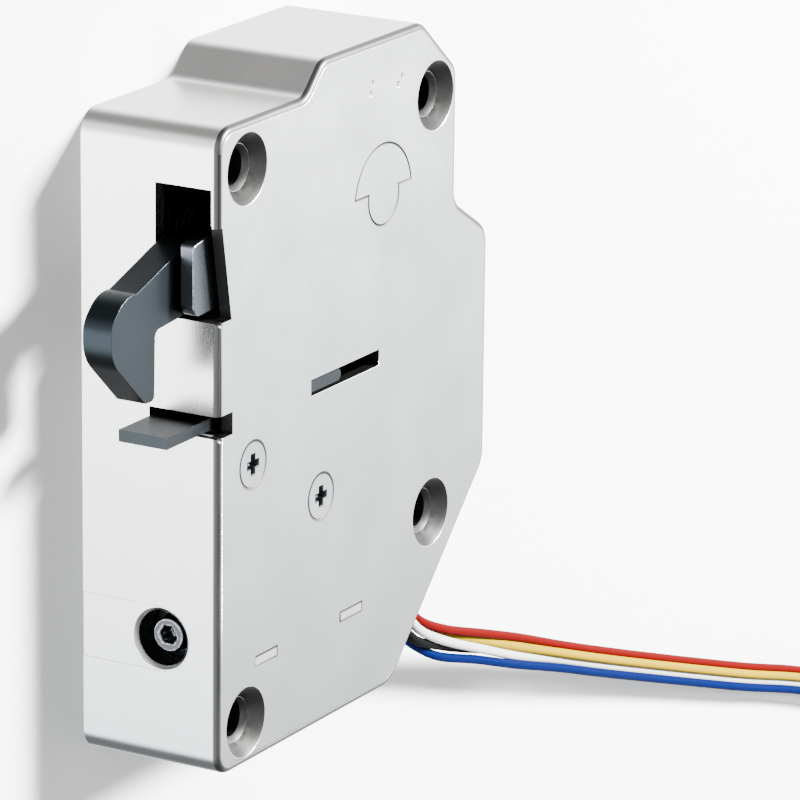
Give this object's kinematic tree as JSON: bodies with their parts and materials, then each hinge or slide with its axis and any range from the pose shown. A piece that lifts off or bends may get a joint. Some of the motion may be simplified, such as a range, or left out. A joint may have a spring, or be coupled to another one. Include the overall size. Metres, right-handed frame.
{
  "type": "electric hook lock",
  "caption": "Flat electric lock case with a swinging hook latch, sprung push trigger, keyed release port and loose connection wires.",
  "frame": {"origin": "middle of the lock's outline box, from hook nose to back edge, on its flat back face, without the wires", "axes": "+X from the latch face to the wires, +Y up the long side of the case, +Z out of the cover face"},
  "size_m": [0.2568, 0.1712, 0.0195],
  "materials": {
    "case_metal": "satin nickel plate over pressed steel, even and nearly matt",
    "cover_metal": "satin nickel plate, a little cooler than the case",
    "screw_steel": "bright blue zinc plate",
    "latch_steel": "dark hardened steel with bright worn edges",
    "cheek_steel": "blue zinc plate, bright",
    "pin_steel": "ground steel",
    "spring_steel": "drawn spring wire",
    "trigger_steel": "blue zinc plate, worn on top",
    "spindle_steel": "dark steel",
    "frame_steel": "zinc plate",
    "rod_brass": "drawn brass",
    "winding_copper": null,
    "bobbin_plastic": "natural nylon",
    "switch_plastic": "black moulded plastic",
    "button_plastic": "red plastic",
    "terminal_brass": "tinned brass",
    "bush_rubber": "black rubber",
    "lead_insulation": "thin plastic insulation",
    "red_insulation": "red PVC",
    "yellow_insulation": "yellow PVC",
    "white_insulation": "white PVC",
    "blue_insulation": "blue PVC",
    "black_insulation": "black PVC",
    "coil_insulation": "coiled PVC wires of several colours",
    "tie_plastic": "natural nylon"
  },
  "bodies": {
    "case": {"housing": "case_metal", "cover": "cover_metal", "cover_screws": "screw_steel", "flush_plug": "cover_metal", "release_insert": "case_metal", "latch_pin": "pin_steel", "latch_spring": "spring_steel", "pawl_pin": "pin_steel", "pawl_spring": "spring_steel", "trigger_spring": "spring_steel", "solenoid_frame": "frame_steel", "bobbin": "bobbin_plastic", "winding": "winding_copper", "plunger_spring": "spring_steel", "switch_body": "switch_plastic", "switch_button": "button_plastic", "switch_pins": "pin_steel", "switch_terminals": "terminal_brass", "grommet": "bush_rubber", "coil_leads": "lead_insulation", "switch_leads": "lead_insulation", "wire_red": "red_insulation", "wire_yellow": "yellow_insulation", "wire_white": "white_insulation", "wire_blue": "blue_insulation", "wire_black": "black_insulation", "wire_coil": "coil_insulation", "cable_ties": "tie_plastic"},
    "latch": {"latch_hook": "latch_steel", "latch_cheek": "cheek_steel", "cheek_dowel": "pin_steel"},
    "pawl": {"pawl": "latch_steel"},
    "plunger": {"plunger": "pin_steel", "push_rod": "rod_brass"},
    "trigger": {"trigger": "trigger_steel"},
    "lever": {"switch_lever": "pin_steel"},
    "release": {"release_spindle": "spindle_steel", "release_cam": "spindle_steel"}
  },
  "joints": [
    {"name": "latch_swing", "type": "hinge", "parent": "case", "child": "latch", "pos_m": [-0.011, 0.02125, 0], "axis": [0, 0, -1], "range_deg": [0, 22], "stiffness_Nm_per_rad": 0.1, "deforming": ["latch_spring"]},
    {"name": "pawl_swing", "type": "hinge", "parent": "case", "child": "pawl", "pos_m": [0.0035, 0.00725, 0], "axis": [0, 0, 1], "range_deg": [0, 7], "stiffness_Nm_per_rad": 0.02, "deforming": ["pawl_spring"]},
    {"name": "plunger_slide", "type": "slide", "parent": "case", "child": "plunger", "axis": [1, 0, 0], "range_m": [0, 0.0037], "stiffness_N_per_m": 4, "deforming": ["plunger_spring"]},
    {"name": "trigger_slide", "type": "slide", "parent": "case", "child": "trigger", "axis": [1, 0, 0], "range_m": [0, 0.008], "stiffness_N_per_m": 120, "deforming": ["trigger_spring"]},
    {"name": "switch_lever_swing", "type": "hinge", "parent": "case", "child": "lever", "pos_m": [0.0225, 0.00395, 0], "axis": [0, 0, -1], "range_deg": [0, 10.2], "stiffness_Nm_per_rad": 0.001},
    {"name": "release_turn", "type": "hinge", "parent": "case", "child": "release", "pos_m": [-0.0165, -0.02605, 0.0113], "axis": [1, 0, 0], "range_deg": [0, 90]}
  ],
  "couplings": [
    {"joint": "pawl_swing", "follows": "latch_swing", "ratio": 0.318},
    {"joint": "plunger_slide", "follows": "latch_swing", "m_per_rad": 0.0096},
    {"joint": "switch_lever_swing", "follows": "trigger_slide", "rad_per_m": 21.8}
  ]
}
